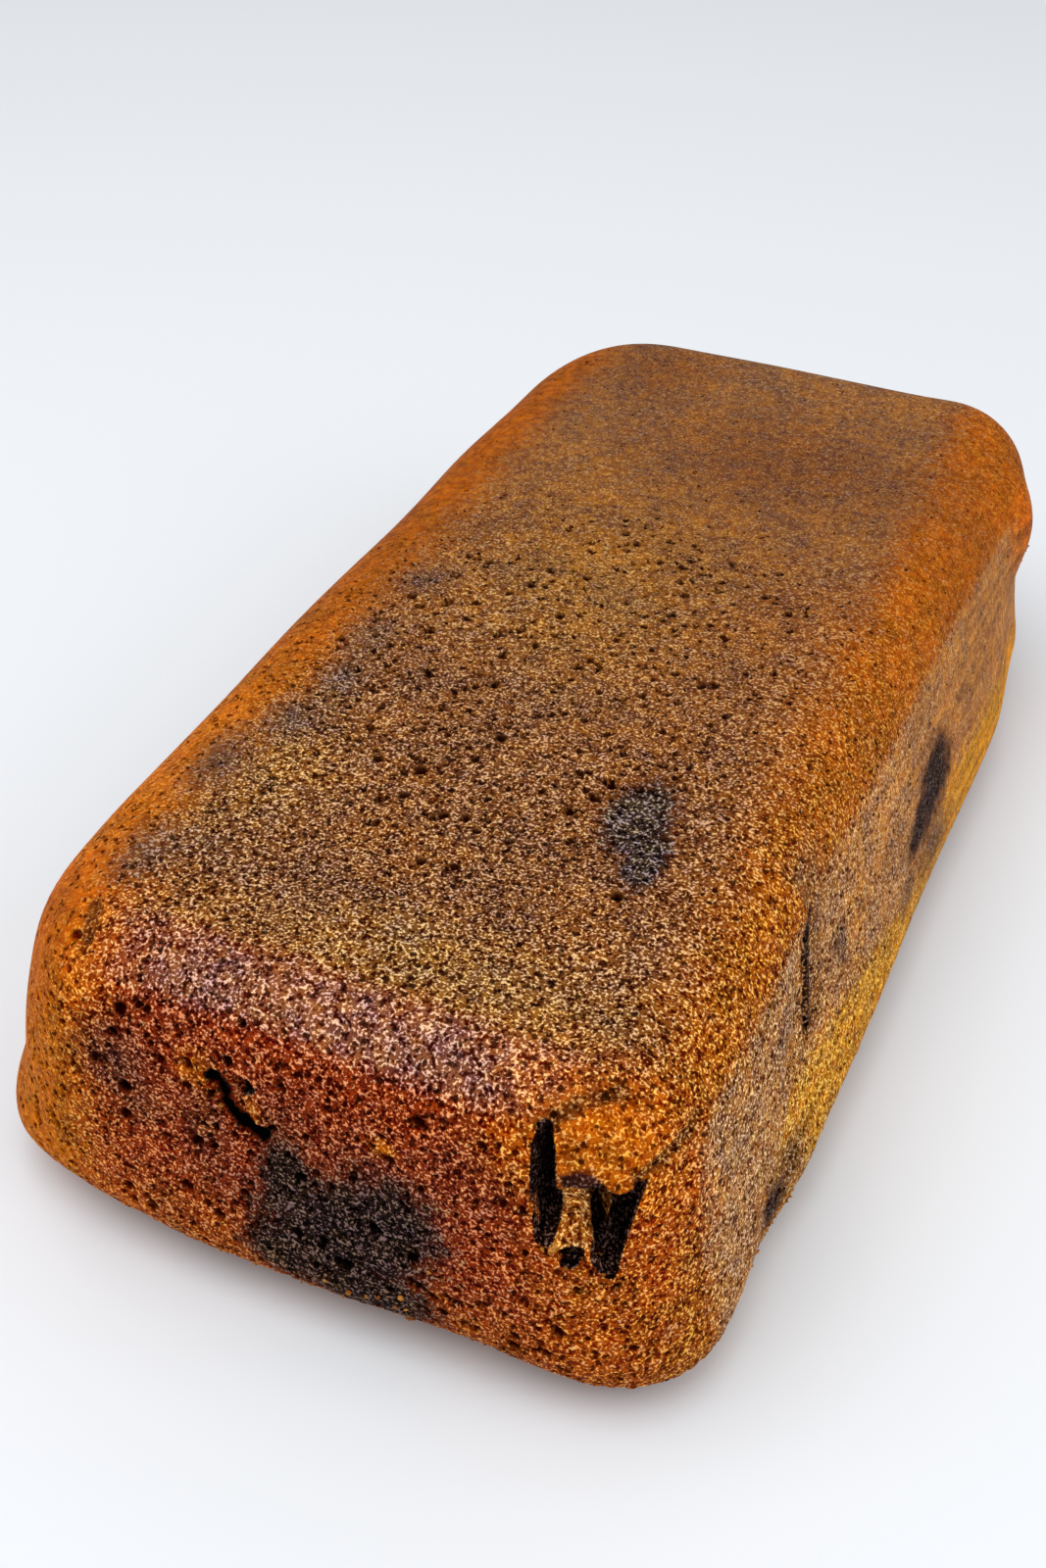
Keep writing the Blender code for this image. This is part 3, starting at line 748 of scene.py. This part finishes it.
# Where the crumb is torn: lines on the skin in mm, and how far to either side crumbs cling
CRUMBLY_LINES = (
    (((-34.0, -111.0, 3.0), (-10.0, -115.0, 2.5), (12.0, -116.0, 3.0), (34.0, -114.0, 3.0), (50.0, -106.0, 3.0)), 2.5),
    (((-6.0, -116.0, 12.5), (5.0, -116.2, 10.5), (18.0, -116.0, 13.0), (22.5, -115.0, 20.0)), 1.2),
    (((62.0, -82.0, 8.0), (62.0, -60.0, 4.0), (62.5, -30.0, 3.0), (62.0, 20.0, 3.0), (60.0, 70.0, 4.0)), 2.5),
    (((55.5, -57.8, 40.0), (57.5, -61.2, 32.8), (58.7, -70.8, 27.8), (60.9, -78.6, 16.9)), 1.2),
    (((37.5, -113.5, 36.0), (41.0, -113.6, 32.5), (45.0, -112.6, 32.0), (48.0, -111.7, 30.4)), 1.2),
    (((-13.0, -112.8, 41.5), (-11.5, -113.2, 38.0), (-8.5, -113.6, 35.5)), 1.5),
    (((56.5, 76.0, 46.0), (58.0, 84.0, 40.0), (59.0, 88.0, 32.0)), 1.6),
)
CRUMBS_PER_SQUARE_METRE = 200000.0
SMALLEST_CRUMB = 0.25 * MM
LARGEST_CRUMB = 1.1 * MM


def crumb_tree():
    """Scatters lumps of sponge over a surface. Their number follows the surface's "crumbly" attribute."""
    tree = bpy.data.node_groups.new("clinging crumbs", "GeometryNodeTree")
    tree.interface.new_socket("Geometry", in_out="INPUT", socket_type="NodeSocketGeometry")
    for name in ("Per Square Metre", "Smallest", "Largest"):
        tree.interface.new_socket(name, in_out="INPUT", socket_type="NodeSocketFloat")
    tree.interface.new_socket("Seed", in_out="INPUT", socket_type="NodeSocketInt")
    tree.interface.new_socket("Material", in_out="INPUT", socket_type="NodeSocketMaterial")
    tree.interface.new_socket("Geometry", in_out="OUTPUT", socket_type="NodeSocketGeometry")
    group = tree.nodes.new("NodeGroupInput").outputs
    crumbly = add_node(tree, "GeometryNodeInputNamedAttribute", {"Name": "crumbly"}, data_type="FLOAT")
    density = add_node(tree, "ShaderNodeMath", {0: crumbly, 1: group["Per Square Metre"]}, operation="MULTIPLY")
    spots = add_node(tree, "GeometryNodeDistributePointsOnFaces",
                     {"Mesh": group["Geometry"], "Density": density, "Seed": group["Seed"]})
    lump = add_node(tree, "GeometryNodeMeshUVSphere", {"Segments": 7, "Rings": 5, "Radius": 0.5})
    turn = add_node(tree, "FunctionNodeRandomValue", {"Max": (math.tau, math.tau, math.tau)},
                    data_type="FLOAT_VECTOR")
    size = add_node(tree, "FunctionNodeRandomValue", {}, data_type="FLOAT_VECTOR")
    smallest = add_node(tree, "ShaderNodeCombineXYZ", dict.fromkeys((0, 1, 2), group["Smallest"]))
    largest = add_node(tree, "ShaderNodeCombineXYZ", dict.fromkeys((0, 1, 2), group["Largest"]))
    tree.links.new(smallest, size.node.inputs["Min"])
    tree.links.new(largest, size.node.inputs["Max"])
    crumbs = add_node(tree, "GeometryNodeInstanceOnPoints",
                      {"Points": spots, "Instance": lump, "Rotation": turn, "Scale": size})
    crumbs = add_node(tree, "GeometryNodeRealizeInstances", {"Geometry": crumbs})
    bumps = add_node(tree, "ShaderNodeTexNoise", {"Scale": 1 / (0.5 * MM), "Detail": 1.0},
                     output="Color")
    bumps = add_node(tree, "ShaderNodeVectorMath", {0: bumps, 1: (0.5, 0.5, 0.5)}, operation="SUBTRACT")
    bumps = add_node(tree, "ShaderNodeVectorMath", {0: bumps, "Scale": group["Largest"]}, operation="SCALE")
    crumbs = add_node(tree, "GeometryNodeSetPosition", {"Geometry": crumbs, "Offset": bumps})
    crumbs = add_node(tree, "GeometryNodeSetMaterial", {"Geometry": crumbs, "Material": group["Material"]})
    output = tree.nodes.new("NodeGroupOutput")
    tree.links.new(crumbs, output.inputs["Geometry"])
    return tree


def loose_sponge():
    """Bare sponge from under the crust: a dull, open crumb with pale edges and browned, darker hollows."""
    material = bpy.data.materials.new("loose sponge")
    material.use_nodes = True
    tree = material.node_tree
    shader = tree.nodes["Principled BSDF"]
    place = add_node(tree, "ShaderNodeTexCoord", {}, output="Object")
    patch = add_node(tree, "ShaderNodeTexNoise", {"Vector": place, "Scale": 1 / (1.5 * MM), "Detail": 1.0})
    share = add_node(tree, "ShaderNodeMapRange", {"Value": patch, "From Min": 0.35, "From Max": 0.65})
    colour = add_node(tree, "ShaderNodeMix", {0: share, 6: linear("#8a4a14"), 7: linear("#c98a3a")}, output=2,
                      data_type="RGBA")
    tree.links.new(colour, shader.inputs["Base Color"])
    cells = add_node(tree, "ShaderNodeTexNoise", {"Vector": place, "Scale": 1 / (0.25 * MM), "Detail": 1.0})
    bumps = add_node(tree, "ShaderNodeBump", {"Height": cells, "Distance": 0.2 * MM, "Strength": 0.8})
    tree.links.new(bumps, shader.inputs["Normal"])
    shader.inputs["Roughness"].default_value = 0.75
    shader.inputs["Specular IOR Level"].default_value = 0.1
    return material


places = places_mm(loaf.data)
crumbly = np.zeros(len(places))
for path, reach in CRUMBLY_LINES:
    line = on_skin(places, path)
    crumbly = np.maximum(crumbly, smoothstep(reach, reach * 0.4, distance_to_path(places, line)))
store(loaf.data, "crumbly", crumbly)
crumbs = bpy.data.objects.new("stray_crumbs", loaf.data.copy())
bpy.context.scene.collection.objects.link(crumbs)
use_tree(crumbs, crumb_tree(), {"Per Square Metre": CRUMBS_PER_SQUARE_METRE, "Smallest": SMALLEST_CRUMB,
                                "Largest": LARGEST_CRUMB, "Seed": 7, "Material": loose_sponge()})
crumbs = applied(crumbs, "stray_crumbs")
places = places_mm(crumbs.data)
set_places_mm(crumbs.data, np.clip(places, np.array(cad_low) / MM, np.array(cad_high) / MM))
crumbs.data.shade_smooth()
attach(crumbs, "root")

# floor
bpy.ops.mesh.primitive_plane_add(size=8)
floor=bpy.context.object; floor.name="floor"
fm=bpy.data.materials.new("floor"); fm.use_nodes=True
fm.node_tree.nodes["Principled BSDF"].inputs["Base Color"].default_value=(0.76,0.79,0.825,1)
fm.node_tree.nodes["Principled BSDF"].inputs["Roughness"].default_value=0.6
floor.data.materials.append(fm)
cam=bpy.data.cameras.new("camera"); camo=bpy.data.objects.new("camera",cam); bpy.context.scene.collection.objects.link(camo)
bpy.context.scene.camera=camo
cam.lens=44.34; cam.sensor_width=36
yaw,pitch,roll=math.radians(-24.10),math.radians(38.81),math.radians(0.467)
camo.matrix_world=Matrix.Translation(Vector((0.10211,-0.26260,0.24434)))@Matrix.Rotation(-yaw,4,'Z')@Matrix.Rotation(math.pi/2-pitch,4,'X')@Matrix.Rotation(roll,4,'Z')
w=bpy.data.worlds.new("w"); bpy.context.scene.world=w; w.use_nodes=True
w.node_tree.nodes["Background"].inputs[0].default_value=(1.0,1.0,1.0,1)
w.node_tree.nodes["Background"].inputs[1].default_value=0.64
for name, d, size, watts in (("key",(-0.2,-0.25,0.9),0.9,6.0),("fill",(0.8,-0.1,0.6),0.7,2.5)):
    l=bpy.data.lights.new(name,"AREA"); l.size=size; l.energy=watts; lo=bpy.data.objects.new(name,l); bpy.context.scene.collection.objects.link(lo)
    d=Vector(d).normalized()
    lo.location=d*1.0
    lo.rotation_euler=d.to_track_quat("Z","Y").to_euler()
bpy.context.scene.view_settings.view_transform="Standard"
